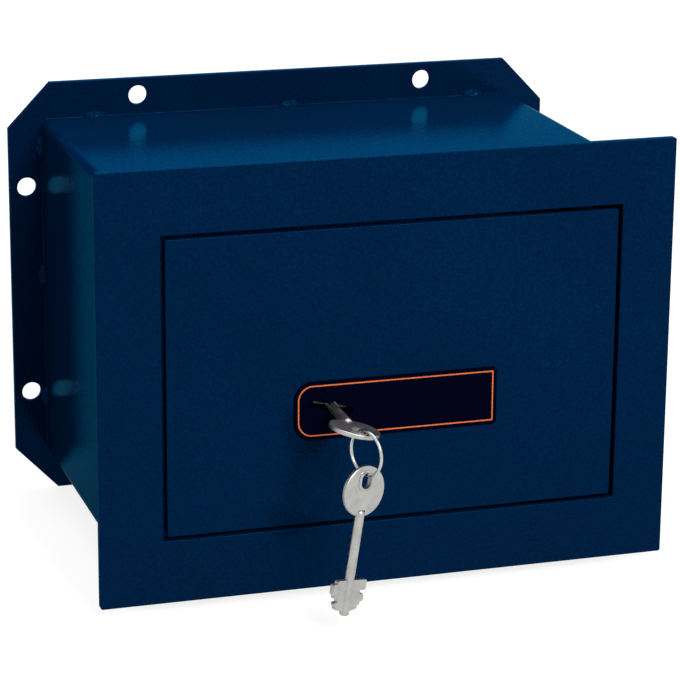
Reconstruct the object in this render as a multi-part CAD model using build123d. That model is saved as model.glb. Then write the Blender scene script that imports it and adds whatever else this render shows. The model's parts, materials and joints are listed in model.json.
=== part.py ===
from build123d import *
import os
from math import cos, pi, radians, sin, sqrt

# Recessed wall safe with a double-bit key lock, in millimetres.
# X runs to the right seen from the front, Y runs from the front to the back, Z is up.
# The origin is the centre of the rear face of the flange.

# Front plate and the box behind it
overall_depth = 190.0        # rear face to front face
frame_width = 284.0
frame_height = 210.0
frame_thickness = 4.0
frame_corner = 1.2
plate_edge = 0.4             # rounding of the visible plate edges
rim_left = 30.4              # plate edge to the door opening
rim_right = 26.4
rim_upright = 30.9           # the same above and below
body_inset_x = 14.0          # plate edge to the box
body_inset_z = 15.0
body_wall = 2.0
body_bend = 4.0              # outer radius of the bent corners

# Rear flange
flange_lip_x = 17.0          # box to flange edge
flange_lip_z = 19.0
flange_thickness = 3.0
flange_cut_x = 22.0          # cut corners
flange_cut_z = 23.0
fixing_hole_radius = 5.0
fixing_hole_inset = 9.0      # hole centre to flange edge
fixing_pitch_x = 154.0       # pitch of the upper and lower pairs
fixing_pitch_z = 110.0       # pitch of the side pairs

# Tack welds, placed from the corners of the box
weld_radius = 2.6
weld_length = 3.0
rear_weld_left = 28.0
rear_weld_middle = 4.0
rear_weld_right = 22.0
rear_weld_top = 14.0
rear_weld_level = 8.0
rear_weld_bottom = 32.0
front_weld_inset = 29.0

# Door
door_gap = 2.2
door_thickness = 4.0
door_corner = 1.0
stop_thickness = 2.0
stop_reach = 4.0             # how far a stop stands into the opening
stop_width = 9.0

# Door hinge
hinge_inset = 13.0           # pivot to the door's hinge edge
hinge_pin_radius = 3.0
hinge_pin_space = 0.5        # pin to the back of the plates
hinge_pin_end = 0.8          # how far a pin stands out of its bracket
running_fit = 0.05
press_fit = 0.02
hinge_lug_width = 11.0
hinge_lug_height = 12.0
hinge_lug_drop = 2.0         # door edge to lug
hinge_bracket_width = 16.0
hinge_bracket_height = 9.0
hinge_bracket_lift = 0.6     # opening edge to bracket
guard_thickness = 2.0
guard_foot = 14.0
guard_depth = 5.0
guard_hook = 12.0
guard_end_space = 7.0

# Key
key_drop = 14.6              # door centre to key axis
key_tilt = 13.0              # keyhole, clockwise from level seen from the front
key_radius = 2.3             # stem
key_insertion = 24.0         # tip to front face, key fully in
bit_thickness = 2.5
bit_corner = 0.5             # cut at the outer corners of the steps
bit_slope = 1.2              # rise of the bit's end from the stem to its edge
tip_chamfer = 0.6
tip_bore_radius = 0.9
tip_bore_depth = 3.0
slot_clearance = 0.3
bit_drive_radius = 10.0      # step that throws the bolt
# Steps of each wing from the bow side: rotor, bolt tail, then the levers front to back
bit_right = (bit_drive_radius, bit_drive_radius, 6.8, 9.3, 9.3, 7.6, 6.2)
bit_left = (7.6, bit_drive_radius, bit_drive_radius, 8.9, 6.6, 8.2, 7.2)
bow_radius = 12.1
bow_thickness = 2.2
bow_edge_gap = 23.4          # front face to the edge of the bow
bow_hole_width = 6.0
bow_hole_length = 7.6
bow_strip = 3.4              # hole to the end of the bow
bow_boss_margin = 1.6
bow_boss_height = 0.25
bow_rounding = 0.6
stem_overlap = 3.0           # stem end let into the bow
stem_dome = 1.6

# Ring
ring_radius = 10.5
ring_wire_radius = 0.8
ring_turn = 24.0             # ring plane, from the key's axis towards the right
ring_play = 0.35             # free space between the ring and each key
ring_slide = 0.4             # ring wire in the bow hole, from the middle towards the right
spare_swing = 11.0           # lean of the hanging key

# Nameplate round the keyhole
nameplate_width = 101.0
nameplate_height = 28.6
nameplate_reach = 18.7       # key axis to the left edge
nameplate_drop = 15.4        # key axis to the lower edge
nameplate_thickness = 0.8
nameplate_big_radius = 9.0
nameplate_small_radius = 2.0
outline_inset = 1.8
outline_width = 0.6
outline_height = 0.12

# Lock
hard_plate_thickness = 3.0
hard_plate_margin = 3.0      # case edge to hard plate edge
case_wall = 1.5
case_rise = 27.5             # key axis to the top of the case
case_fall = 32.0             # key axis to the bottom of the case
case_depth = 15.0            # outside depth of the tray
case_corner = 2.5
cover_thickness = 1.5
rotor_rim = 3.0              # longest step of the key to the edge of the rotor
sheet_gap = 0.3              # running gap between sliding sheets
tail_thickness = 3.0
tail_drop = 9.0              # key axis to the bottom of the tail
talon_depth = 2.2            # how far the longest step reaches into the tail
talon_width = 10.0           # tail above the talon edges
talon_radius = 7.0
talon_clearance = 0.4
lever_thickness = 1.5
lever_count = 5
lever_web = 4.2              # lever metal round the key window
lever_arm_half = 11.0
lever_tail_half = 5.5
lever_post_radius = 2.5
lever_post_space = 7.0       # longest step of the key to the post's axis
lever_play = 1.0             # lever end to the inside of the case
gate_margin = 3.7            # lever end to the gate
stump_side = 4.0
stump_clearance = 0.3
stump_space = 6.0            # longest step of the key to the stump's axis
pocket_width = 5.4
pocket_rise = 6.0
post_radius = 2.6
post_inset = 3.6
screw_radius = 1.6
screw_fit = 0.05
screw_head_radius = 3.4
screw_head_height = 2.0
screw_head_rounding = 1.0
screw_recess = 1.0
spring_thickness = 0.5
spring_width = 1.2

# Bolts
bolt_travel = 16.0           # one full turn of the key
bolt_radius = 7.0
bolt_chamfer = 1.0
bolt_retreat = 3.9           # door edge to the end of a drawn bolt
bolt_margin = 26.9           # door edge to bolt axis, above and below
bolt_flat_depth = 1.0
seat_play = 1.0              # bar to the shoulder of the bolt
bar_inset = 31.1             # door edge to bar
bar_width = 7.0
bar_thickness = 4.0
bar_overhang = 11.0          # bolt axis to bar end
bar_space = 1.5              # bar to lock case
rivet_radius = 1.6
rivet_head = 3.0
rivet_head_height = 0.9
rivet_rounding = 0.6
guide_inset = 11.4           # door edge to guide
guide_thickness = 3.0
guide_end = 10.9             # door edge to guide, above and below
guide_foot = 13.0
guide_foot_thickness = 2.0
bush_wall = 1.15
bush_flange = 1.5
bush_flange_rim = 1.4
bush_space = 1.4             # bush flange to the back of the door
guide_rim = 0.4              # bush flange to the edge of the guide

# Depths from the front face backwards
front = -overall_depth
frame_back = front + frame_thickness
door_back = front + door_thickness
flange_front = -flange_thickness
hinge_y = max(frame_back, door_back) + hinge_pin_space + hinge_pin_radius

# Plate, door and box outlines
opening_width = frame_width - rim_left - rim_right
opening_height = frame_height - 2 * rim_upright
door_width = opening_width - 2 * door_gap
door_height = opening_height - 2 * door_gap
door_offset = (rim_left - rim_right) / 2
door_left = door_offset - door_width / 2
hinge_x = door_offset + door_width / 2 - hinge_inset
body_width = frame_width - 2 * body_inset_x
body_height = frame_height - 2 * body_inset_z
flange_width = body_width + 2 * flange_lip_x
flange_height = body_height + 2 * flange_lip_z

# Across the lock, from the bolt bar to the lever post
tail_left = door_left + bar_inset
case_left = tail_left + bar_width + bar_space
lever_left = case_left + case_wall + lever_play
gate_left = lever_left + gate_margin
gate_half = stump_side / 2 + stump_clearance
stump_x = gate_left + gate_half + bolt_travel
gate_right = stump_x + gate_half
key_x = stump_x + stump_space + bit_drive_radius
key_z = -key_drop
lever_post_x = key_x + bit_drive_radius + lever_post_space
case_right = lever_post_x + lever_tail_half + case_wall + 1.5
case_bottom, case_top = key_z - case_fall, key_z + case_rise
rotor_radius = bit_drive_radius + rotor_rim
tail_step = key_x - bit_drive_radius - 1.5
tail_right = key_x + bit_drive_radius + 9.5
tail_tooth = bit_drive_radius - talon_depth
tail_rise = tail_tooth + talon_width

os.makedirs("parts", exist_ok=True)


def save(name, shape):
    export_step(shape, f"parts/{name}.step")


def sheet(profile, start, thickness):
    """Extrudes a profile drawn in X and Z, from the depth start towards the back."""
    plane = Plane(origin=(0, start + thickness, 0), x_dir=(1, 0, 0), z_dir=(0, -1, 0))
    return extrude(plane * profile, amount=thickness)


def upright(profile, bottom, height):
    """Extrudes a profile drawn in X and Y upwards from the level bottom."""
    return extrude(Plane.XY.offset(bottom) * profile, amount=height)


def behind(face, shape):
    """Keeps what lies behind the depth face."""
    return shape & Pos(0, face + overall_depth, 0) * Box(2 * frame_width, 2 * overall_depth, 2 * frame_width)


def group(shapes):
    return Compound(children=list(shapes))


def both_ways(values):
    return [side * value for value in values for side in (-1, 1)]


# Front frame and body
frame_outline = RectangleRounded(frame_width, frame_height, frame_corner)
opening = Pos(door_offset, 0) * RectangleRounded(opening_width, opening_height, door_corner)
frame_plate = sheet(frame_outline - opening, front, frame_thickness)
save("front_frame", fillet(frame_plate.faces().sort_by(Axis.Y)[0].edges(), plate_edge))

shell_outline = RectangleRounded(body_width, body_height, body_bend)
inner_width, inner_height = body_width - 2 * body_wall, body_height - 2 * body_wall
shell_inside = RectangleRounded(inner_width, inner_height, body_bend - body_wall)
shell_length = flange_front - frame_back
save("body_shell", sheet(shell_outline - shell_inside, frame_back, shell_length))

half_width, half_height = flange_width / 2, flange_height / 2
cut_corner = [(half_width - flange_cut_x, half_height), (half_width, half_height - flange_cut_z)]
corners = [(sx * x, sz * z) for sx, sz, order in ((1, 1, 1), (1, -1, -1), (-1, -1, 1), (-1, 1, -1))
           for x, z in cut_corner[::order]]
flange_outline = make_face(Polyline(*corners, close=True))
holes = [Pos(x, z) * Circle(fixing_hole_radius)
         for x in both_ways([fixing_pitch_x / 2])
         for z in both_ways([flange_height / 2 - fixing_hole_inset])]
holes += [Pos(x, z) * Circle(fixing_hole_radius)
          for x in both_ways([flange_width / 2 - fixing_hole_inset])
          for z in both_ways([fixing_pitch_z / 2])]
flange = sheet(flange_outline - holes, flange_front, flange_thickness)
save("rear_flange", fillet(flange.faces().sort_by(Axis.Y)[0].outer_wire().edges(), plate_edge))


# Short welds in the corner between the box and the two plates
def weld(along_x, x, z, plate_face):
    ends = [Pos(0, 0, s * weld_length / 2) * Sphere(weld_radius) for s in (-1, 1)]
    rod = Cylinder(weld_radius, weld_length) + ends
    turned = Rot(0, 90, 0) * rod if along_x else rod
    return Pos(x, plate_face, z) * turned


def weld_row(plate_face, side, spots_x, spots_z):
    block = Box(body_width, 4 * weld_radius, body_height)
    plate = Pos(0, -side * 2 * weld_radius, 0) * Box(frame_width, 4 * weld_radius, frame_height)
    cutter = Pos(0, plate_face, 0) * (block + plate)
    rods = [weld(True, x, s * body_height / 2, plate_face) for x in spots_x for s in (-1, 1)]
    rods += [weld(False, s * body_width / 2, z, plate_face) for z in spots_z for s in (-1, 1)]
    return group(rod - cutter for rod in rods)


rear_x = (rear_weld_left - body_width / 2, rear_weld_middle, body_width / 2 - rear_weld_right)
rear_z = (body_height / 2 - rear_weld_top, rear_weld_level, rear_weld_bottom - body_height / 2)
front_x = (front_weld_inset - body_width / 2, 0, body_width / 2 - front_weld_inset)
front_z = (front_weld_inset - body_height / 2, body_height / 2 - front_weld_inset)
save("rear_tack_welds", weld_row(flange_front, -1, rear_x, rear_z))
save("front_tack_welds", weld_row(frame_back, 1, front_x, front_z))

# Door stops behind the opening
opening_left = door_left - door_gap
side_strip = Rectangle(stop_width, opening_height - 2 * stop_reach)
side_place = Pos(opening_left + stop_reach - stop_width / 2, 0)
save("door_stop_left", sheet(side_place * side_strip, frame_back, stop_thickness))
stop_right_end = hinge_x - 2 * hinge_bracket_width
stop_length = stop_right_end - opening_left + stop_width
stop_level = opening_height / 2 - stop_reach + stop_width / 2
for name, level in (("door_stop_top", stop_level), ("door_stop_bottom", -stop_level)):
    bar = Pos(stop_right_end - stop_length / 2, level) * Rectangle(stop_length, stop_width)
    save(name, sheet(bar, frame_back, stop_thickness))


# Hinge: lugs on the door turn on pins held by brackets behind the frame
def hinge_block(width, face):
    """Profile in X and Y: a block from the plate face to the pivot, rounded about the pivot."""
    depth = hinge_y - face
    block = Pos(hinge_x, hinge_y - depth / 2) * Rectangle(width, depth)
    return Pos(hinge_x, hinge_y) * Circle(width / 2) + block


lug_top = door_height / 2 - hinge_lug_drop
bracket_bottom = opening_height / 2 + hinge_bracket_lift
pivot = Pos(hinge_x, hinge_y)
pin_hole = pivot * Circle(hinge_pin_radius + running_fit)
tight_hole = pivot * Circle(hinge_pin_radius + press_fit)
for name, side in (("upper", 1), ("lower", -1)):
    lug_level = lug_top - hinge_lug_height if side > 0 else -lug_top
    lug_shape = hinge_block(hinge_lug_width, door_back) - pin_hole
    save(f"hinge_lug_{name}", behind(door_back, upright(lug_shape, lug_level, hinge_lug_height)))
    bracket_level = bracket_bottom if side > 0 else -bracket_bottom - hinge_bracket_height
    bracket_shape = hinge_block(hinge_bracket_width, frame_back) - tight_hole
    bracket = upright(bracket_shape, bracket_level, hinge_bracket_height)
    save(f"hinge_bracket_{name}", behind(frame_back, bracket))
    pin_low = lug_top - hinge_lug_height + 1.0
    pin_high = bracket_bottom + hinge_bracket_height + hinge_pin_end
    pin = Cylinder(hinge_pin_radius, pin_high - pin_low)
    pin = Pos(hinge_x, hinge_y, side * (pin_low + pin_high) / 2) * pin
    save(f"hinge_pin_{name}", chamfer(pin.edges().filter_by(GeomType.CIRCLE), 0.4))

# Door panel with the keyhole
door_outline = Pos(door_offset, 0) * RectangleRounded(door_width, door_height, door_corner)
slot_length = 2 * (bit_drive_radius + slot_clearance)
slot_width = bit_thickness + 2 * slot_clearance
keyway = Pos(key_x, key_z) * Rot(0, 0, -key_tilt) * (
    Rectangle(slot_length + 0.2, slot_width) + Circle(key_radius + slot_clearance + 0.2))
panel = sheet(door_outline - keyway, front, door_thickness)
save("door_panel", fillet(panel.faces().sort_by(Axis.Y)[0].outer_wire().edges(), plate_edge))

# Nameplate: large corners on the left, small on the right
plate_x = key_x - nameplate_reach + nameplate_width / 2
plate_z = key_z - nameplate_drop + nameplate_height / 2
plate_centre = Pos(plate_x, plate_z)


def nameplate_shape(inset):
    shape = Rectangle(nameplate_width - 2 * inset, nameplate_height - 2 * inset)
    ends = shape.vertices().group_by(Axis.X)
    shape = fillet(ends[0], nameplate_big_radius - inset)
    return fillet(shape.vertices().group_by(Axis.X)[-1], max(nameplate_small_radius - inset, 0.4))


nameplate_front = front - nameplate_thickness
save("nameplate", sheet(plate_centre * nameplate_shape(0) - keyway, nameplate_front, nameplate_thickness))
outline = plate_centre * (nameplate_shape(outline_inset) - nameplate_shape(outline_inset + outline_width))
save("nameplate_outline", sheet(outline, nameplate_front - outline_height, outline_height))

# Guard on the hinge side: foot on the door, web, and a hook that lies behind the frame
guard_height = 2 * (lug_top - hinge_lug_height - guard_end_space)
guard_start = hinge_x - guard_foot / 2
guard_path = Polyline(
    (guard_start, door_back + guard_thickness / 2),
    (guard_start + guard_foot, door_back + guard_thickness / 2),
    (guard_start + guard_foot, door_back + guard_depth),
    (guard_start + guard_foot + guard_hook, door_back + guard_depth))
save("hinge_side_guard", upright(trace(guard_path, guard_thickness), -guard_height / 2, guard_height))

# Hard plate and lock case behind the keyhole
case_front = door_back + hard_plate_thickness
case_back = case_front + case_depth
case_width, case_height = case_right - case_left, case_top - case_bottom
case_centre = Pos((case_left + case_right) / 2, (case_bottom + case_top) / 2)


def case_outline(inset, corner):
    return case_centre * RectangleRounded(case_width - 2 * inset, case_height - 2 * inset, corner)


case_shape = case_outline(0, case_corner)
case_inside = case_outline(case_wall, case_corner - case_wall)
hard_shape = case_outline(hard_plate_margin, case_corner)
save("hard_plate", sheet(hard_shape - keyway, door_back, hard_plate_thickness))

rotor_back = case_front + case_wall
tail_front = rotor_back + sheet_gap
tail_back = tail_front + tail_thickness
lever_front = tail_back + sheet_gap
lever_pitch = lever_thickness + sheet_gap
bar_front = tail_back

tray = sheet(case_shape, case_front, case_depth) - sheet(case_inside, rotor_back, case_depth)
rotor_hole = Pos(key_x, key_z) * Circle(rotor_radius + running_fit)
tail_top, tail_bottom = key_z + tail_rise, key_z - tail_drop
window_place = Pos(case_left + case_wall / 2, (tail_front + tail_back) / 2, (tail_top + tail_bottom) / 2)
window_height = tail_top - tail_bottom + 2 * sheet_gap
tail_window = window_place * Box(3 * case_wall, tail_thickness + sheet_gap, window_height)
save("lock_case", tray - sheet(rotor_hole, case_front, case_wall) - tail_window)
save("key_rotor", sheet(Pos(key_x, key_z) * Circle(rotor_radius) - keyway, case_front, case_wall))

post_places = [(x, z) for x in (case_left + case_wall + post_inset, case_right - case_wall - post_inset)
               for z in (case_bottom + case_wall + post_inset, case_top - case_wall - post_inset)]
posts = [sheet(Pos(x, z) * Circle(post_radius), rotor_back, case_back - rotor_back) for x, z in post_places]
save("lock_posts", group(posts))
screw_holes = [Pos(x, z) * Circle(screw_radius) for x, z in post_places]
pilot = Pos(key_x, key_z) * Circle(key_radius + running_fit)
save("lock_cover", sheet(case_shape - screw_holes - pilot, case_back, cover_thickness))


def screw(x, z, face):
    """Round-headed screw whose shank fills the hole under it; the head has a cross recess."""
    head = sheet(Circle(screw_head_radius), 0, screw_head_height)
    head = fillet(head.faces().sort_by(Axis.Y)[-1].edges(), screw_head_rounding)
    recess = Rectangle(screw_head_radius, 0.9) + Rectangle(0.9, screw_head_radius)
    head -= sheet(recess, screw_head_height - screw_recess, 2 * screw_recess)
    shank = sheet(Circle(screw_radius - screw_fit), -cover_thickness, cover_thickness)
    return Pos(x, face, z) * (head + shank)


save("lock_cover_screws", group(screw(x, z, case_back + cover_thickness) for x, z in post_places))

lever_post = sheet(Pos(lever_post_x, key_z) * Circle(lever_post_radius), rotor_back, case_back - rotor_back)
save("lever_post", lever_post)

# Levers: one window and one gate each, cut to the step of the key that lifts them
travel_per_radian = bolt_travel / (2 * pi)


def window_radius(index):
    step = max(bit_right[index + 2], bit_left[index + 2])
    return sqrt(step ** 2 + (bit_thickness / 2) ** 2) + slot_clearance


def lever(index):
    window = window_radius(index)
    belly = bit_drive_radius + lever_web
    arm = RectangleRounded(key_x - lever_left, 2 * lever_arm_half, 3.0)
    tail = SlotOverall(lever_post_x - key_x + 2 * lever_tail_half, 2 * lever_tail_half)
    outline = Pos((lever_left + key_x) / 2, key_z) * arm + Pos(key_x, key_z) * Circle(belly)
    outline += Pos((key_x + lever_post_x) / 2, key_z) * tail
    gate = Pos((gate_left + gate_right) / 2, key_z) * Rectangle(gate_right - gate_left, 2 * gate_half)
    pockets = [Pos(x, key_z + pocket_rise / 2) * Rectangle(pocket_width, 2 * gate_half + pocket_rise)
               for x in (gate_left + pocket_width / 2, gate_right - pocket_width / 2)]
    cuts = [Pos(key_x, key_z) * Circle(window), keyway, gate, *pockets,
            Pos(lever_post_x, key_z) * Circle(lever_post_radius + running_fit)]
    return sheet(outline - cuts, lever_front + index * lever_pitch, lever_thickness)


for index in range(lever_count):
    save(f"lever_{index + 1}", lever(index))


# One bent leaf spring presses each lever down from the top of the case
def lever_spring(index):
    start, end = (lever_left + 6.0, key_z + lever_arm_half), (key_x - 2.0, case_top - case_wall)
    half = spring_thickness / 2
    leaf = ThreePointArc((start[0], start[1] + half), ((start[0] + end[0]) / 2 + 3.0, start[1] + 2.6),
                         (end[0], end[1] - half - 0.05))
    depth = lever_front + index * lever_pitch + (lever_thickness - spring_width) / 2
    below = sheet(Pos(0, start[1] - 10) * Rectangle(200, 20), depth - 1, spring_width + 2)
    return sheet(trace(leaf, spring_thickness), depth, spring_width) - below


save("lever_springs", group(lever_spring(index) for index in range(lever_count)))

# Bolt tail: the turning bit passes through two scalloped talons, one for each half turn
turn_to_top = 90.0 + key_tilt
talon_places = [key_x + bolt_travel * (turn_to_top + half_turn) / 360.0 for half_turn in (0.0, 180.0)]
talon_top = bit_drive_radius + talon_clearance
rack = Pos((tail_step + tail_right) / 2, key_z + (tail_tooth + tail_rise) / 2) * Rectangle(
    tail_right - tail_step, tail_rise - tail_tooth)
tail_arm = Pos((tail_left + tail_step) / 2, key_z + (tail_rise - tail_drop) / 2) * Rectangle(
    tail_step - tail_left, tail_rise + tail_drop)
talons = [Pos(x, key_z + talon_top - talon_radius) * Circle(talon_radius) for x in talon_places]
bar_centre = tail_left + bar_width / 2
bar_rivets = [(bar_centre, key_z + offset) for offset in (12.0, -4.0)]
tail_holes = [Pos(x, z) * Circle(rivet_radius) for x, z in bar_rivets]
stump_hole = Pos(stump_x, key_z) * Rectangle(stump_side, stump_side)
save("bolt_tail", sheet(rack + tail_arm - talons - tail_holes - stump_hole, tail_front, tail_thickness))
stump_back = lever_front + lever_count * lever_pitch
save("bolt_stump", sheet(stump_hole, tail_front, stump_back - tail_front))

# Bar and the two round bolts that it carries
bolt_level = door_height / 2 - bolt_margin
bolt_places = [bolt_level, -bolt_level]
end_rivets = [(bar_centre, z) for z in bolt_places]
bar_shape = Pos(bar_centre, 0) * RectangleRounded(bar_width, 2 * (bolt_level + bar_overhang), 1.5)
bar_holes = [Pos(x, z) * Circle(rivet_radius) for x, z in bar_rivets + end_rivets]
save("bolt_bar", sheet(bar_shape - bar_holes, bar_front, bar_thickness))

bush_sleeve_radius = bolt_radius + running_fit + bush_wall
bush_radius = bush_sleeve_radius + bush_flange_rim
bolt_axis = door_back + bush_space + bush_radius
bolt_end = door_left + bolt_retreat
bolt_length = tail_left + bar_width - 0.5 - bolt_end
bar_back = bar_front + bar_thickness
bolt_flat = bolt_axis + bolt_radius - bolt_flat_depth
seat_length = bolt_end + bolt_length - tail_left + seat_play
for name, level in zip(("bolt_upper", "bolt_lower"), bolt_places):
    rod = Rot(0, 90, 0) * Cylinder(bolt_radius, bolt_length)
    rod = chamfer(rod.edges().filter_by(GeomType.CIRCLE).sort_by(Axis.X)[0], bolt_chamfer)
    rod = Pos(bolt_end + bolt_length / 2, bolt_axis, level) * rod
    tongue_place = Pos(tail_left - seat_play + seat_length / 2, (bar_back + bolt_flat) / 2, level)
    tongue = tongue_place * Box(seat_length, bolt_flat - bar_back, 3 * bolt_radius)
    shoulder = Pos(tail_left - seat_play - bolt_length, bolt_axis, level) * Box(2 * bolt_length, 60, 60)
    hole = sheet(Pos(bar_centre, level) * Circle(rivet_radius), bar_front, bolt_flat - bar_front)
    save(name, rod & (tongue + shoulder) - hole)


def rivet(x, z, start, end):
    """Rivet whose low domed heads seat on the faces at the depths start and end."""
    shank = sheet(Circle(rivet_radius), start, end - start)
    near = sheet(Circle(rivet_head), start - rivet_head_height, rivet_head_height)
    near = fillet(near.faces().sort_by(Axis.Y)[0].edges(), rivet_rounding)
    far = sheet(Circle(rivet_head), end, rivet_head_height)
    far = fillet(far.faces().sort_by(Axis.Y)[-1].edges(), rivet_rounding)
    return Pos(x, 0, z) * (near + shank + far)


rivets = [rivet(x, z, tail_front, bar_back) for x, z in bar_rivets]
rivets += [rivet(x, z, bar_front, bolt_flat) for x, z in end_rivets]
save("bolt_rivets", group(rivets))

# Guide for the bolts: an angle on the door with a flanged bush for each bolt
guide_x = door_left + guide_inset
guide_face = guide_x + guide_thickness
guide_height = door_height - 2 * guide_end
guide_depth = bolt_axis + bush_radius + guide_rim - door_back
guide_wall = Pos(guide_x + guide_thickness / 2, door_back + guide_depth / 2, 0) * Box(
    guide_thickness, guide_depth, guide_height)
foot = Pos(guide_face + guide_foot / 2, door_back + guide_foot_thickness / 2, 0) * Box(
    guide_foot, guide_foot_thickness, guide_height)
angle = guide_wall + foot
outer_bend = angle.edges().filter_by(Axis.Z).sort_by(Axis.X)[0:2].sort_by(Axis.Y)[0]
angle = fillet(outer_bend, guide_foot_thickness)
bolt_line = [Pos(guide_face, bolt_axis, level) * Rot(0, -90, 0) for level in bolt_places]
angle -= [line * Cylinder(bush_sleeve_radius, 4 * guide_thickness) for line in bolt_line]
save("bolt_guide", angle)


def bush(line):
    sleeve = extrude(Circle(bush_sleeve_radius), guide_thickness)
    flange = extrude(Plane.XY.offset(guide_thickness) * Circle(bush_radius), bush_flange)
    return line * (sleeve + flange - Cylinder(bolt_radius + running_fit, 6 * guide_thickness))


save("bolt_bushes", group(bush(line) for line in bolt_line))

# Key, drawn with its tip at the origin and its bow up; the blade lies in X and Z
stem_end = key_insertion + bow_edge_gap + stem_overlap
bow_centre = key_insertion + bow_edge_gap + bow_radius
bow_end = bow_centre + bow_radius
hole_centre = bow_end - bow_strip - bow_hole_length / 2


def key_stem():
    stem = extrude(Circle(key_radius), stem_end)
    rims = stem.edges().filter_by(GeomType.CIRCLE).sort_by(Axis.Z)
    stem = fillet(rims[-1], stem_dome)
    stem = chamfer(stem.edges().filter_by(GeomType.CIRCLE).sort_by(Axis.Z)[0], tip_chamfer)
    return stem - Pos(0, 0, tip_bore_depth / 2) * Cylinder(tip_bore_radius, tip_bore_depth)


def wing_edge(radii, steps):
    """Stepped edge of one wing from bow to tip, its outer corners cut at 45 degrees."""
    edge = [(0.5 * key_radius, steps[0])]
    around = (0, *radii, 0)
    for before, radius, after, high, low in zip(around, radii, around[2:], steps, steps[1:]):
        if before < radius:
            edge += [(radius - bit_corner, high), (radius, high - bit_corner)]
        if before > radius:
            edge += [(radius, high)]
        if after < radius:
            edge += [(radius, low + bit_corner), (radius - bit_corner, low)]
        if after > radius:
            edge += [(radius, low)]
    return edge + [(0.5 * key_radius, steps[-1] - bit_slope)]


def key_bit():
    """Two wings whose steps match the rotor, the bolt tail and the levers, front to back."""
    tip = front + key_insertion
    depths = [case_front, tail_front - sheet_gap / 2]
    depths += [lever_front - sheet_gap / 2 + index * lever_pitch for index in range(lever_count + 1)]
    steps = [tip - depth for depth in depths]
    right_edge = wing_edge(bit_right, steps)
    left_edge = [(-x, z) for x, z in reversed(wing_edge(bit_left, steps))]
    profile = make_face(Polyline(*right_edge, *left_edge, close=True))
    return sheet(profile, -bit_thickness / 2, bit_thickness) - Cylinder(key_radius, 4 * key_insertion)


def key_bow():
    slot = Pos(0, hole_centre) * Rot(0, 0, 90) * SlotOverall(bow_hole_length, bow_hole_width)
    boss_length, boss_width = bow_hole_length + 2 * bow_boss_margin, bow_hole_width + 2 * bow_boss_margin
    boss = Pos(0, hole_centre) * Rot(0, 0, 90) * SlotOverall(boss_length, boss_width)
    disc = sheet(Pos(0, bow_centre) * Circle(bow_radius), -bow_thickness / 2, bow_thickness)
    disc = fillet(disc.edges().filter_by(GeomType.CIRCLE), bow_rounding)
    raised = sheet(boss, -bow_thickness / 2 - bow_boss_height, bow_thickness + 2 * bow_boss_height)
    hole = sheet(slot, -2 * bow_thickness, 4 * bow_thickness)
    return disc + raised - hole - Cylinder(key_radius, 2 * stem_end)


def save_key(prefix, place):
    for name, piece in (("key_stem", key_stem()), ("key_bit", key_bit()), ("key_bow", key_bow())):
        save(prefix + name, place * piece)


tilt = radians(key_tilt)
key_across = Vector(cos(tilt), 0, -sin(tilt))
key_along = Vector(0, -1, 0)
key_tip = Vector(key_x, front + key_insertion, key_z)
save_key("", Plane(origin=key_tip, x_dir=key_across, z_dir=key_along).location)

# Ring through the bow hole, hanging on the strip between the hole and the rim
turn = radians(ring_turn)


def reach(centre, radius):
    """Distance in the ring's plane, from the wire's place in the hole to a circle on the key's axis."""
    side, ahead = -ring_slide, centre - hole_centre
    near = side * sin(turn) + ahead * cos(turn)
    return near + sqrt(radius ** 2 - side ** 2 - ahead ** 2 + near ** 2)


rim_reach = reach(bow_centre, bow_radius)
slot_reach = reach(hole_centre + (bow_hole_length - bow_hole_width) / 2, bow_hole_width / 2)
strip_half = (rim_reach - slot_reach) / 2
strip_reach = (rim_reach + slot_reach) / 2
ring_inside = ring_radius - ring_wire_radius
ring_drop = sqrt(ring_inside ** 2 - strip_half ** 2) - bow_thickness / 2 - bow_boss_height - ring_play
strip_direction = key_across * sin(turn) + key_along * cos(turn)
strip_point = key_tip + key_along * hole_centre + key_across * ring_slide + strip_direction * strip_reach
ring_centre = strip_point - Vector(0, 0, ring_drop)
ring_level = Vector(strip_direction.X, strip_direction.Y, 0).normalized()
ring_normal = Vector(0, 0, 1).cross(ring_level)
ring_place = Plane(origin=ring_centre, x_dir=ring_level, z_dir=ring_normal).location
save("key_ring", ring_place * Torus(ring_radius, ring_wire_radius))

# Spare key, hanging by its hole on the lowest point of the ring
lean = radians(spare_swing)
spare_along = Vector(0, 0, 1) * cos(lean) + ring_normal * sin(lean)
spare_across = ring_normal * cos(lean) - Vector(0, 0, 1) * sin(lean)
ring_low = ring_centre - Vector(0, 0, ring_radius)
hole_top = bow_end - bow_strip
spare_tip = ring_low - spare_along * (hole_top - ring_wire_radius - ring_play)
save_key("spare_", Plane(origin=spare_tip, x_dir=spare_across, z_dir=spare_along).location)

print("key turn axis", key_x, key_z, "metres per radian", travel_per_radian / 1000)
print("hinge axis", hinge_x, hinge_y)
print("ring centre", ring_centre, "ring low", ring_low, "along", ring_level)
print("top of the strip", strip_point + Vector(0, 0, bow_thickness / 2 + bow_boss_height))
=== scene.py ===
"""Recessed wall safe with a key lock: finishes, weld beads, joint lines, light and camera."""

import json
from math import pi, radians

import bmesh
import bpy
import numpy as np
from mathutils import Matrix, Vector


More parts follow.
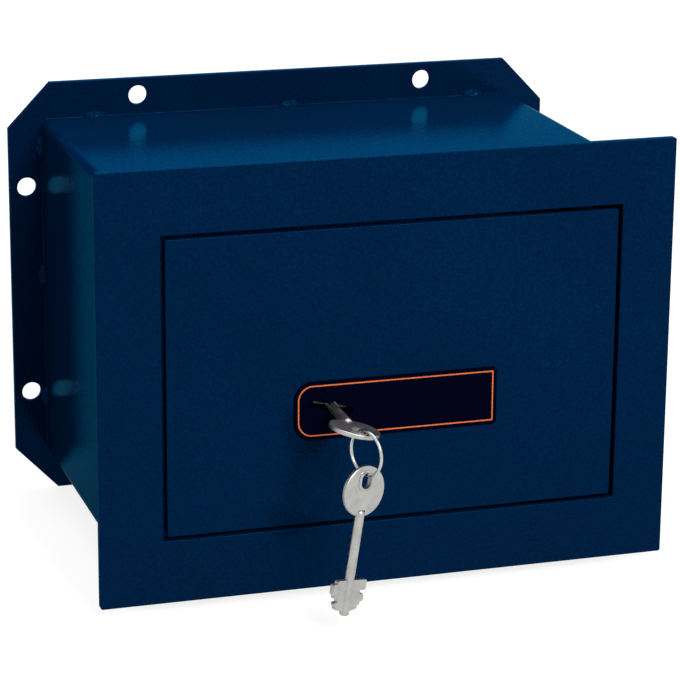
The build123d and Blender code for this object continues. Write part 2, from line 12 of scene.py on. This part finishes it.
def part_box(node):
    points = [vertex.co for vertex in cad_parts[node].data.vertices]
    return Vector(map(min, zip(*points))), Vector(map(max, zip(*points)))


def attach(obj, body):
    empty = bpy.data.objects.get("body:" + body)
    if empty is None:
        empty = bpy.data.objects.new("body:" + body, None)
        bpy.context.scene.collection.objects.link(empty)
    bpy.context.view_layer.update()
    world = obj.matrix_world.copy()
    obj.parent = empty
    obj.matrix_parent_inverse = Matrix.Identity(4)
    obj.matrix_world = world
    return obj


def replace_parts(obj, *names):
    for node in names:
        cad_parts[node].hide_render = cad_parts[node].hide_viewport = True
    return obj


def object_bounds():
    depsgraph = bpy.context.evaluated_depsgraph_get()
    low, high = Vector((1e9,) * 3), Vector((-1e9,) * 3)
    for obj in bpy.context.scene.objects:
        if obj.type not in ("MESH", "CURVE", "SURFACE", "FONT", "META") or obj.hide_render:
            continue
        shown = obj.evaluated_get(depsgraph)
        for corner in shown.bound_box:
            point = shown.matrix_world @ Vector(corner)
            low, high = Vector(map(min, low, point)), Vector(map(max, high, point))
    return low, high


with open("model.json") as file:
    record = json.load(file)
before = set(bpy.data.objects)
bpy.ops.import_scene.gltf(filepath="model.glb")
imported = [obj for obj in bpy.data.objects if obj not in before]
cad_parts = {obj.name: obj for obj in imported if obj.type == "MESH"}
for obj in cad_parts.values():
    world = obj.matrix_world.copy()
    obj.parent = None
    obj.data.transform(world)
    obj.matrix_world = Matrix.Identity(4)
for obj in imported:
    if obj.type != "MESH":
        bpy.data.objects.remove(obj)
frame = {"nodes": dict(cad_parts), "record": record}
cad_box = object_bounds()
MM = 0.001


# Places taken from the frame

shell_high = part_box("body_shell")[1]
flange_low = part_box("rear_flange")[0]
plate_low, plate_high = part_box("front_frame")
name_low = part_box("nameplate")[0]
stem_low, stem_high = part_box("key_stem")

body_half_x, body_half_z = shell_high.x, shell_high.z
flange_face = flange_low.y
frame_back = plate_high.y
key_x = (stem_low.x + stem_high.x) / 2
key_z = (stem_low.z + stem_high.z) / 2

# Outer radius of the bent corners of the box
BODY_BEND = 4.0 * MM
# Depth behind a front face at which a finish takes its walls to begin
WALL_START = 0.1 * MM


# Small node helpers

MIX_FIRST, MIX_SECOND, MIX_RESULT = 6, 7, 2     # colour sockets of the Mix node


def feed(tree, socket, value):
    """Links another node's output to the socket, or sets the socket's own value."""
    if isinstance(value, bpy.types.NodeSocket):
        tree.links.new(value, socket)
    else:
        socket.default_value = value


def opaque(colour):
    """Adds full alpha to a colour of three numbers; a node's output passes as it is."""
    return colour if isinstance(colour, bpy.types.NodeSocket) else (*colour, 1.0)


def add(tree, kind, inputs=(), **settings):
    """Adds a node, sets its options, and feeds each of its named or numbered inputs."""
    node = tree.nodes.new("ShaderNode" + kind)
    for name, value in settings.items():
        setattr(node, name, value)
    for key, value in dict(inputs).items():
        feed(tree, node.inputs[key], value)
    return node


def maths(tree, operation, first, second=0.0):
    return add(tree, "Math", {0: first, 1: second}, operation=operation).outputs[0]


def vector_maths(tree, operation, first, second=(0.0, 0.0, 0.0)):
    return add(tree, "VectorMath", {0: first, 1: second}, operation=operation).outputs


def remap(tree, value, low, high, to_low, to_high):
    """Straight-line change of range, held at both ends."""
    inputs = {"Value": value, "From Min": low, "From Max": high,
              "To Min": to_low, "To Max": to_high}
    return add(tree, "MapRange", inputs).outputs["Result"]


def blend(tree, factor, first, second, blend_type="MIX"):
    """Mixes two colours."""
    node = add(tree, "Mix", {"Factor": factor}, data_type="RGBA", blend_type=blend_type)
    feed(tree, node.inputs[MIX_FIRST], opaque(first))
    feed(tree, node.inputs[MIX_SECOND], opaque(second))
    return node.outputs[MIX_RESULT]


def noise(tree, place, scale, detail=2.0, roughness=0.5, stretch=None):
    """Fractal noise from 0 to 1. Scale is its lumps in a metre. Stretch multiplies the
    coordinates, so a large number packs the noise along that axis."""
    if stretch:
        place = add(tree, "Mapping", {"Vector": place, "Scale": stretch}).outputs[0]
    inputs = {"Vector": place, "Scale": scale, "Detail": detail, "Roughness": roughness}
    return add(tree, "TexNoise", inputs).outputs[0]


def relief(tree, shader, height, distance):
    """Feeds a height from 0 to 1 to the shader's normal; distance is the full height in metres."""
    bump = add(tree, "Bump", {"Height": height, "Distance": distance, "Strength": 1.0})
    tree.links.new(bump.outputs[0], shader.inputs["Normal"])


def new_group(name, inputs, outputs):
    """Empty node group with its named sockets; gives the group and its input node."""
    group = bpy.data.node_groups.new(name, "ShaderNodeTree")
    for socket, kind, value in inputs:
        made = group.interface.new_socket(socket, in_out="INPUT", socket_type=kind)
        if value is not None:
            made.default_value = value
    for socket, kind in outputs:
        group.interface.new_socket(socket, in_out="OUTPUT", socket_type=kind)
    return group, group.nodes.new("NodeGroupInput")


def close_group(group, values):
    """Feeds the group's outputs by name."""
    out = group.nodes.new("NodeGroupOutput")
    for name, socket in values.items():
        group.links.new(socket, out.inputs[name])
    return group


def use_group(tree, group, values):
    """Places the group in a material, feeds its inputs by name and gives its outputs."""
    node = tree.nodes.new("ShaderNodeGroup")
    node.node_tree = group
    for name, value in values.items():
        feed(tree, node.inputs[name], value)
    return node.outputs


def new_material(name, colour):
    """Material with a Principled shader; colour is what a plain viewer shows."""
    material = bpy.data.materials.new(name)
    material.use_nodes = True
    material.diffuse_color = opaque(colour)
    tree = material.node_tree
    shader = tree.nodes["Principled BSDF"]
    place = tree.nodes.new("ShaderNodeTexCoord").outputs["Object"]
    return material, tree, shader, place


# Effects that several finishes share

NOISE_SPAN = (0.3, 0.7)         # most of a noise lies between these
CRUMBS_PER_WRINKLE = 2.6
PAINT_WAVES, PAINT_CLOUDS = 55.0, 14.0                      # lumps in a metre
WRINKLE_SHARE, CRUMB_SHARE, WAVE_SHARE = 0.7, 0.15, 0.15
CROSS_SCRATCHES, LONG_SCRATCHES = 240.0, 200.0              # before they are stretched
TARNISH_CLOUDS, TARNISH_SHARE = 160.0, 0.55
GRAIN_DEPTH, SCRATCH_DEPTH = 0.45, 0.5                      # shares of the metal's relief


def powder_texture():
    """Cured powder paint: fine rounded wrinkles a millimetre or two across, broader waves, and
    a faint change of tone."""
    group, given = new_group(
        "powder_texture",
        [("Place", "NodeSocketVector", None), ("Colour", "NodeSocketColor", None),
         ("Grain", "NodeSocketFloat", 700.0)],
        [("Colour", "NodeSocketColor"), ("Height", "NodeSocketFloat"),
         ("Roughness", "NodeSocketFloat")])
    place, colour, grain = (given.outputs[n] for n in ("Place", "Colour", "Grain"))
    wrinkle = noise(group, place, grain, detail=1.5, roughness=0.45)
    crumb = noise(group, place, maths(group, "MULTIPLY", grain, CRUMBS_PER_WRINKLE), detail=1.0)
    wave = noise(group, place, PAINT_WAVES, detail=1.0)
    height = maths(group, "ADD", maths(group, "MULTIPLY", wrinkle, WRINKLE_SHARE),
                   maths(group, "MULTIPLY", crumb, CRUMB_SHARE))
    height = maths(group, "ADD", height, maths(group, "MULTIPLY", wave, WAVE_SHARE))
    tone = remap(group, wrinkle, 0.34, 0.66, 0.86, 1.14)
    cloud = remap(group, noise(group, place, PAINT_CLOUDS), *NOISE_SPAN, 0.95, 1.05)
    tone = maths(group, "MULTIPLY", tone, cloud)
    tone_colour = add(group, "CombineColor", {0: tone, 1: tone, 2: tone}).outputs[0]
    shaded = blend(group, 1.0, colour, tone_colour, "MULTIPLY")
    rough = remap(group, crumb, *NOISE_SPAN, 0.9, 1.1)
    return close_group(group, {"Colour": shaded, "Height": height, "Roughness": rough})


def handled_metal():
    """Plated metal in use: a fine grain, sparse scratches in two directions, and cloudy
    tarnish."""
    group, given = new_group(
        "handled_metal",
        [("Place", "NodeSocketVector", None), ("Colour", "NodeSocketColor", None),
         ("Tarnish", "NodeSocketColor", None), ("Grain", "NodeSocketFloat", 1500.0)],
        [("Colour", "NodeSocketColor"), ("Height", "NodeSocketFloat"),
         ("Roughness", "NodeSocketFloat")])
    place, colour, tarnish, grain = (
        given.outputs[n] for n in ("Place", "Colour", "Tarnish", "Grain"))
    fine = noise(group, place, grain)
    across = noise(group, place, CROSS_SCRATCHES, detail=1.0, stretch=(1.0, 1.0, 14.0))
    along = noise(group, place, LONG_SCRATCHES, detail=1.0, stretch=(9.0, 6.0, 0.7))
    scratches = maths(group, "MAXIMUM", remap(group, across, 0.66, 0.72, 0.0, 1.0),
                      remap(group, along, 0.68, 0.73, 0.0, 1.0))
    cloud = noise(group, place, TARNISH_CLOUDS, detail=3.0, roughness=0.6)
    mask = remap(group, cloud, 0.42, 0.68, 0.0, 1.0)
    shaded = blend(group, maths(group, "MULTIPLY", mask, TARNISH_SHARE), colour, tarnish)
    height = maths(group, "SUBTRACT", maths(group, "MULTIPLY", fine, GRAIN_DEPTH),
                   maths(group, "MULTIPLY", scratches, SCRATCH_DEPTH))
    height = maths(group, "ADD", height, 0.5)
    rough = maths(group, "ADD", remap(group, cloud, *NOISE_SPAN, 0.82, 1.25),
                  maths(group, "MULTIPLY", scratches, 0.2))
    return close_group(group, {"Colour": shaded, "Height": height, "Roughness": rough})


POWDER = powder_texture()
METAL = handled_metal()


# Finishes

PAINT_COLOUR = (0.0004, 0.0145, 0.0520)
PAINT_GRAIN = 720.0             # wrinkles in a metre
PAINT_ROUGHNESS = 0.07
PAINT_METALLIC = 0.26
PAINT_GRAZING = (0.20, 0.415, 0.57)
PAINT_RELIEF = 0.11 * MM
KEYHOLE_REACH = 14.0 * MM       # the door's walls nearer the key's axis than this are painted near black, as shade inside the keyhole
# painted shade: near-black colour for the door's walls inside the keyhole
KEYHOLE_SHADE = (0.0003, 0.0003, 0.0006)
WALL_ROUGHNESS = 0.8
PLATE_BLACK, PLATE_RUBBED = (0.0002, 0.0005, 0.0075), (0.0004, 0.0010, 0.0110)
# painted shade for the nameplate's walls behind its front face
PLATE_WALL_SHADE = (0.0001, 0.0001, 0.0002)
PLATE_RUBS, PLATE_GRAIN = 90.0, 900.0                       # lumps in a metre
INK, INK_THICK, INK_THIN = (0.83, 0.17, 0.032), (0.88, 0.20, 0.04), (0.70, 0.13, 0.025)
INK_GRAIN = 1400.0              # lumps in a metre
PRINT_RELIEF = 0.01 * MM


def keyhole_shade_mask(tree, place):
    """1 close round the key's axis and behind the front face, where the door paints the keyhole's
    shade; 0 elsewhere.
    """
    beside = vector_maths(tree, "ADD", place, (-key_x, 0.0, -key_z))[0]
    beside = vector_maths(tree, "MULTIPLY", beside, (1.0, 0.0, 1.0))[0]
    distance = vector_maths(tree, "LENGTH", beside)["Value"]
    depth = add(tree, "SeparateXYZ", {0: place}).outputs[1]
    near = maths(tree, "LESS_THAN", distance, KEYHOLE_REACH)
    behind = maths(tree, "GREATER_THAN", depth, plate_low.y + WALL_START)
    return maths(tree, "MULTIPLY", near, behind)


def navy_powder_coat(name, shaded_keyhole=False):
    """Dark blue textured paint with a soft metallic sheen; its reflections stay blue towards the
    edge of view. With shaded_keyhole the walls of the keyhole are painted near black and dull, as
    painted shade."""
    material, tree, shader, place = new_material(name, PAINT_COLOUR)
    paint = use_group(tree, POWDER, {"Place": place, "Colour": opaque(PAINT_COLOUR),
                                     "Grain": PAINT_GRAIN})
    shade = paint["Colour"]
    rough = maths(tree, "MULTIPLY", paint["Roughness"], PAINT_ROUGHNESS)
    shader.inputs["Metallic"].default_value = PAINT_METALLIC
    if shaded_keyhole:
        # painted shade: the keyhole's walls turn near black, dull and without metal sheen
        wall = keyhole_shade_mask(tree, place)
        shade = blend(tree, wall, shade, KEYHOLE_SHADE)
        rough = maths(tree, "MAXIMUM", rough, maths(tree, "MULTIPLY", wall, WALL_ROUGHNESS))
        open_face = maths(tree, "SUBTRACT", 1.0, wall)
        metallic = maths(tree, "MULTIPLY", open_face, PAINT_METALLIC)
        tree.links.new(metallic, shader.inputs["Metallic"])
    tree.links.new(shade, shader.inputs["Base Color"])
    tree.links.new(rough, shader.inputs["Roughness"])
    shader.inputs["Specular IOR Level"].default_value = 0.0
    shader.inputs["Specular Tint"].default_value = opaque(PAINT_GRAZING)
    relief(tree, shader, paint["Height"], PAINT_RELIEF)
    return material


def nameplate_black():
    """Satin black with a faint rubbed sheen; all its walls behind the front face, round the
    keyhole and at its rim, are painted near black and dull as shade.
    """
    material, tree, shader, place = new_material("nameplate_black", PLATE_BLACK)
    rub = noise(tree, place, PLATE_RUBS, detail=3.0, stretch=(0.5, 1.0, 2.0))
    rubbed = remap(tree, rub, 0.4, 0.75, 0.0, 0.5)
    shade = blend(tree, rubbed, PLATE_BLACK, PLATE_RUBBED)
    depth = add(tree, "SeparateXYZ", {0: place}).outputs[1]
    # painted shade: walls behind the front face turn near black and dull
    wall = maths(tree, "GREATER_THAN", depth, name_low.y + WALL_START)
    shade = blend(tree, wall, shade, PLATE_WALL_SHADE)
    rough = remap(tree, rub, *NOISE_SPAN, 0.16, 0.26)
    rough = maths(tree, "MAXIMUM", rough, maths(tree, "MULTIPLY", wall, WALL_ROUGHNESS))
    tree.links.new(shade, shader.inputs["Base Color"])
    tree.links.new(rough, shader.inputs["Roughness"])
    shader.inputs["Specular IOR Level"].default_value = 0.01
    relief(tree, shader, noise(tree, place, PLATE_GRAIN, detail=1.0), PRINT_RELIEF)
    return material


def outline_orange():
    """Printed orange line, a little uneven like screen ink."""
    material, tree, shader, place = new_material("outline_orange", INK)
    ink = noise(tree, place, INK_GRAIN)
    shade = blend(tree, remap(tree, ink, *NOISE_SPAN, 0.0, 1.0), INK_THICK, INK_THIN)
    tree.links.new(shade, shader.inputs["Base Color"])
    tree.links.new(remap(tree, ink, *NOISE_SPAN, 0.38, 0.5), shader.inputs["Roughness"])
    relief(tree, shader, ink, PRINT_RELIEF)
    return material


def plated_metal(name, colour, tarnish, roughness, grain=1500.0, depth=0.012, grazing=1.0):
    """Metal finish from the shared handled-metal effect. Grain is its lumps in a metre, and depth
    is their relief in millimetres. A low grazing value keeps slanting reflections dark."""
    material, tree, shader, place = new_material(name, colour)
    skin = use_group(tree, METAL, {"Place": place, "Colour": opaque(colour),
                                   "Tarnish": opaque(tarnish), "Grain": grain})
    rough = maths(tree, "MULTIPLY", skin["Roughness"], roughness)
    tree.links.new(skin["Colour"], shader.inputs["Base Color"])
    tree.links.new(rough, shader.inputs["Roughness"])
    shader.inputs["Metallic"].default_value = 1.0
    shader.inputs["Specular Tint"].default_value = opaque((grazing, grazing, grazing))
    relief(tree, shader, skin["Height"], depth * MM)
    return material


navy = navy_powder_coat("navy_powder_coat")
door_coat = navy_powder_coat("door_powder_coat", shaded_keyhole=True)

FINISHES = {
    "navy_paint": navy,
    "black_plate": nameplate_black(),
    "orange_line": outline_orange(),
    "key_steel": plated_metal(
        "key_nickel", (0.43, 0.43, 0.41), (0.30, 0.30, 0.285), 0.36, depth=0.03),
    "ring_wire": plated_metal(
        "ring_wire", (0.50, 0.50, 0.49), (0.36, 0.355, 0.35), 0.24, depth=0.01),
    "lock_steel": plated_metal(
        "zinc_sheet", (0.52, 0.53, 0.54), (0.40, 0.41, 0.40), 0.38, grain=500.0),
    "bolt_steel": plated_metal(
        "turned_steel", (0.60, 0.60, 0.61), (0.45, 0.45, 0.45), 0.24, grain=1800.0),
    "lever_brass": plated_metal(
        "lever_brass", (0.62, 0.42, 0.16), (0.42, 0.27, 0.10), 0.28),
    # nearly black steel with slanting reflections kept dark: part its own dark finish, part
    # painted shade for the lock parts seen down the keyhole
    "hard_steel": plated_metal(
        "hard_steel", (0.008, 0.008, 0.009), (0.005, 0.005, 0.005), 0.62, grazing=0.1),
    "spring_steel": plated_metal(
        "spring_strip", (0.20, 0.22, 0.27), (0.12, 0.12, 0.16), 0.26),
}
for part in frame["record"]["subparts"]:
    coat = door_coat if part["node"] == "door_panel" else FINISHES[part["material_slot"]]
    slots = frame["nodes"][part["node"]].data.materials
    slots.clear()
    slots.append(coat)


# Pieces painted like the safe body

SAME_POINT = 1e-7               # points nearer than this, in metres, are joined


def painted_piece(name, sheets, closed_ring):
    """One navy piece of the safe body from closed sheets. Each sheet is a grid of points, rows by
    columns, whose columns run round. Its first and last rows join each other if closed_ring is
    set, and are drawn to a pole each if not."""
    points, faces, start = [], [], 0
    for sheet in sheets:
        rows, columns = sheet.shape[:2]
        index = start + np.arange(rows * columns).reshape(rows, columns)
        if closed_ring:
            index = np.vstack([index, index[:1]])
        following = np.roll(index, -1, axis=1)
        corners = [index[:-1], index[1:], following[1:], following[:-1]]
        faces.append(np.stack(corners, axis=-1).reshape(-1, 4))
        points.append(sheet.reshape(-1, 3))
        start += rows * columns
    mesh = bpy.data.meshes.new(name)
    mesh.from_pydata(np.concatenate(points).tolist(), [], np.concatenate(faces).tolist())
    weld_and_face_out(mesh)
    piece = bpy.data.objects.new(name, mesh)
    bpy.context.scene.collection.objects.link(piece)
    mesh.materials.append(navy)
    mesh.shade_smooth()
    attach(piece, "safe_body")
    return piece


def weld_and_face_out(mesh):
    """Joins the points of each pole and turns all faces outwards."""
    work = bmesh.new()
    work.from_mesh(mesh)
    bmesh.ops.remove_doubles(work, verts=work.verts, dist=SAME_POINT)
    bmesh.ops.recalc_face_normals(work, faces=work.faces)
    work.to_mesh(mesh)
    work.free()


# Weld beads

REAR_WELDS_X = np.array([-100.0, 4.0, 106.0]) * MM
REAR_WELDS_Z = np.array([76.0, 8.0, -58.0]) * MM
FRONT_WELDS_X = np.array([-99.0, 0.0, 99.0]) * MM
FRONT_WELDS_Z = np.array([61.0, -61.0]) * MM
BEAD_LENGTH, BEAD_RADIUS = 11.5 * MM, 3.3 * MM
BEAD_ROWS, BEAD_COLUMNS = 29, 40
BEAD_BLUNTNESS = 0.8            # 1 ends the bead as an ellipse, less ends it blunter
HIDDEN_SHARE = 0.16             # radius left on the side that lies in the sheets
BROAD_RIPPLE, FINE_RIPPLE = 0.07, 0.05
CRATER_DEPTH, CRATER_OFFSET = 0.46, 0.28
CRATER_SPREAD_ALONG, CRATER_SPREAD_ROUND = 0.05, 0.16
OUT_OF_CORNER = pi / 4          # angle that points straight out of the corner


def tack_weld(middle, along, wall_out, plate_out, seed):
    """Tack weld in an inside corner. A point is
    middle + along * t + r * (wall_out * cos a + plate_out * sin a).
    t runs the length of the bead, closer set towards its ends. r falls to nothing at both ends as
    a power of the root of 1 - t^2, swells with slow ripples, dips in a small round crater off
    centre, and shrinks on the side that is hidden in the sheets."""
    t = np.cos(np.linspace(pi, 0.0, BEAD_ROWS))[:, None]
    a = np.linspace(0.0, 2 * pi, BEAD_COLUMNS, endpoint=False)[None, :]
    facing = np.clip(0.5 + 0.75 * np.cos(a - OUT_OF_CORNER), HIDDEN_SHARE, 1.0)
    ripple = (1 + BROAD_RIPPLE * np.sin(9 * t + seed) * np.cos(3 * a + 2 * seed)
              + FINE_RIPPLE * np.sin(17 * t + 5 * a + 3 * seed))
    from_crater = ((t - CRATER_OFFSET * np.sin(seed)) ** 2 / CRATER_SPREAD_ALONG
                   + (a - OUT_OF_CORNER) ** 2 / CRATER_SPREAD_ROUND)
    crater = 1 - CRATER_DEPTH * np.exp(-from_crater)
    taper = np.sqrt(np.clip(1 - t ** 2, 0, 1)) ** BEAD_BLUNTNESS
    r = BEAD_RADIUS * taper * facing * ripple * crater
    across = np.cos(a)[..., None] * wall_out + np.sin(a)[..., None] * plate_out
    return middle + t[..., None] * BEAD_LENGTH / 2 * along + r[..., None] * across


def weld_row(name, node, plate_face, facing, spots_x, spots_z):
    """Tack welds round the box at one plate, in place of the plain CAD rods. Each bead's seed
    comes from its place, so that no two look alike."""
    x_axis, z_axis, out = np.eye(3)[0], np.eye(3)[2], np.array([0.0, facing, 0.0])
    beads = []
    for side in (-1, 1):
        for x in spots_x:
            corner = np.array([x, plate_face, side * body_half_z])
            beads.append(tack_weld(corner, x_axis, side * z_axis, out, 31 * x * side + 1.7))
        for z in spots_z:
            corner = np.array([side * body_half_x, plate_face, z])
            beads.append(tack_weld(corner, z_axis, side * x_axis, out, 47 * z * side + 0.6))
    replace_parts(painted_piece(name, beads, closed_ring=False), node)


weld_row("rear_weld_beads", "rear_tack_welds", flange_face, -1.0, REAR_WELDS_X, REAR_WELDS_Z)
weld_row("front_weld_beads", "front_tack_welds", frame_back, 1.0, FRONT_WELDS_X, FRONT_WELDS_Z)


# Painted joint lines

LINE_RADIUS, LINE_SWELL, LINE_CRUMBS = 0.42, 0.16, 0.07     # in millimetres
SLOW_WAVES, MIDDLE_WAVES, QUICK_WAVES = 37, 91, 173         # once round the box
LINE_COLUMNS = 10


def rounded_path(half_x, half_z, radius, per_corner=10, per_side=60):
    """Closed path round a rectangle with round corners, with its outward directions, both in X
    and Z. Each quarter is an arc about its own corner centre, and straight runs of even steps lie
    between the arcs."""
    signs = ((1, 1), (-1, 1), (-1, -1), (1, -1))
    centres = np.array(signs) * [half_x - radius, half_z - radius]
    share = np.linspace(0, 1, per_side)[1:-1, None]
    places, outwards = [], []
    for quarter in range(4):
        angle = quarter * pi / 2 + np.linspace(0, pi / 2, per_corner)
        outward = np.stack([np.cos(angle), np.sin(angle)], axis=-1)
        arc = centres[quarter] + radius * outward
        next_start = centres[(quarter + 1) % 4] + radius * outward[-1]
        places += [arc, arc[-1] * (1 - share) + next_start * share]
        outwards += [outward, np.repeat(outward[-1:], per_side - 2, axis=0)]
    return np.concatenate(places), np.concatenate(outwards)


def joint_line(name, plate_face, facing):
    """Paint drawn into the corner between box and plate. The profile is a small circle of radius r
    carried round the box's outline. r swells and shrinks along the way by a product of two sines
    and a third, finer one, so that the line looks broken."""
    path, outward = rounded_path(body_half_x, body_half_z, BODY_BEND)
    way = np.linspace(0, 2 * pi, len(path), endpoint=False)[:, None]
    a = np.linspace(0, 2 * pi, LINE_COLUMNS, endpoint=False)[None, :]
    r = (LINE_RADIUS + LINE_SWELL * np.sin(SLOW_WAVES * way) * np.sin(MIDDLE_WAVES * way + 1)
         + LINE_CRUMBS * np.sin(QUICK_WAVES * way)) * MM
    section_out, section_along_y = r * np.cos(a), r * np.sin(a)
    sheet = np.empty(section_out.shape + (3,))
    sheet[..., 0] = path[:, :1] + section_out * outward[:, :1]
    sheet[..., 1] = plate_face + facing * section_along_y
    sheet[..., 2] = path[:, 1:] + section_out * outward[:, 1:]
    painted_piece(name, [sheet], closed_ring=True)


joint_line("rear_joint_line", flange_face, -1.0)
joint_line("front_joint_line", frame_back, 1.0)


# Floor, light and camera

WHITE = (1.0, 1.0, 1.0, 1.0)
FLOOR_HALF = 12.0               # half the floor's side, in metres
FLOOR_GAP = 0.5 * MM            # floor to the lowest point of the safe
FLOOR_GREY = (0.24, 0.24, 0.24)
FLOOR_GLOW = 0.84               # with the light on the floor this makes white to the eye
WORLD_LIGHT = 0.50              # strength that lights the object; the eye sees 1

CAMERA_PLACE = (-0.4099, -1.4165, 0.4020)
CAMERA_YAW, CAMERA_PITCH, CAMERA_ROLL = radians(17.399), radians(16.636), radians(0.463)
CAMERA_SENSOR, CAMERA_LENS = 36.0, 151.64                   # in millimetres


def seen_by_eye(tree):
    """1 for camera, mirror and glass rays, 0 for the rays that carry light to the object."""
    path = tree.nodes.new("ShaderNodeLightPath")
    seen = maths(tree, "MAXIMUM", path.outputs["Is Camera Ray"], path.outputs["Is Glossy Ray"])
    return maths(tree, "MAXIMUM", seen, path.outputs["Is Transmission Ray"])


def pale_floor():
    """Wide pale floor under the safe. The camera and mirrors see it as white; it keeps a faint
    shadow."""
    half, level = FLOOR_HALF, cad_box[0][2] - FLOOR_GAP
    corners = [(-half, -half, level), (half, -half, level), (half, half, level),
               (-half, half, level)]
    mesh = bpy.data.meshes.new("floor")
    mesh.from_pydata(corners, [], [(0, 1, 2, 3)])
    floor = bpy.data.objects.new("floor", mesh)
    bpy.context.scene.collection.objects.link(floor)
    material, tree, shader, _ = new_material("floor_white", (0.8, 0.8, 0.8))
    shader.inputs["Base Color"].default_value = opaque(FLOOR_GREY)
    shader.inputs["Roughness"].default_value = 1.0
    shader.inputs["Specular IOR Level"].default_value = 0.0
    shader.inputs["Emission Color"].default_value = WHITE
    glow = maths(tree, "MULTIPLY", seen_by_eye(tree), FLOOR_GLOW)
    tree.links.new(glow, shader.inputs["Emission Strength"])
    mesh.materials.append(material)


def studio_world():
    """White to the eye; lights the object at half of that."""
    world = bpy.data.worlds.new("studio")
    bpy.context.scene.world = world
    world.use_nodes = True
    tree = world.node_tree
    background = tree.nodes["Background"]
    background.inputs["Color"].default_value = WHITE
    level = remap(tree, seen_by_eye(tree), 0.0, 1.0, WORLD_LIGHT, 1.0)
    tree.links.new(level, background.inputs["Strength"])


def soft_lamp(name, place, aim, size, watts):
    """Square area lamp at place, turned to shine on aim; size is its side in metres."""
    light = bpy.data.lights.new(name, "AREA")
    light.shape = "SQUARE"
    light.size = size
    light.energy = watts
    lamp = bpy.data.objects.new(name, light)
    bpy.context.scene.collection.objects.link(lamp)
    turn = (Vector(aim) - Vector(place)).normalized().to_track_quat("-Z", "Y")
    lamp.matrix_world = Matrix.Translation(place) @ turn.to_matrix().to_4x4()


def set_camera():
    """Camera at the photograph's angle: left of centre, above, with a long lens."""
    data = bpy.data.cameras.new("camera")
    data.sensor_width = CAMERA_SENSOR
    data.lens = CAMERA_LENS
    data.clip_end = 60.0
    camera = bpy.data.objects.new("camera", data)
    bpy.context.scene.collection.objects.link(camera)
    turn = (Matrix.Rotation(-CAMERA_YAW, 4, "Z") @ Matrix.Rotation(pi / 2 - CAMERA_PITCH, 4, "X")
            @ Matrix.Rotation(CAMERA_ROLL, 4, "Z"))
    camera.matrix_world = Matrix.Translation(CAMERA_PLACE) @ turn
    bpy.context.scene.camera = camera


pale_floor()
studio_world()
soft_lamp("lamp_front", (0.42, -1.95, 1.42), (0.0, -0.1, 0.0), 1.1, 40.0)
soft_lamp("lamp_overhead", (0.2, 0.1, 2.4), (0.0, -0.1, 0.0), 1.5, 30.0)
soft_lamp("lamp_behind_right", (0.72, 2.1, 0.70), (0.0, -0.1, 0.05), 1.5, 9.5)
soft_lamp("lamp_behind_left", (-0.9, 1.9, 1.5), (0.0, -0.1, 0.0), 1.2, 14.0)
set_camera()

view = bpy.context.scene.view_settings
view.view_transform = "Standard"
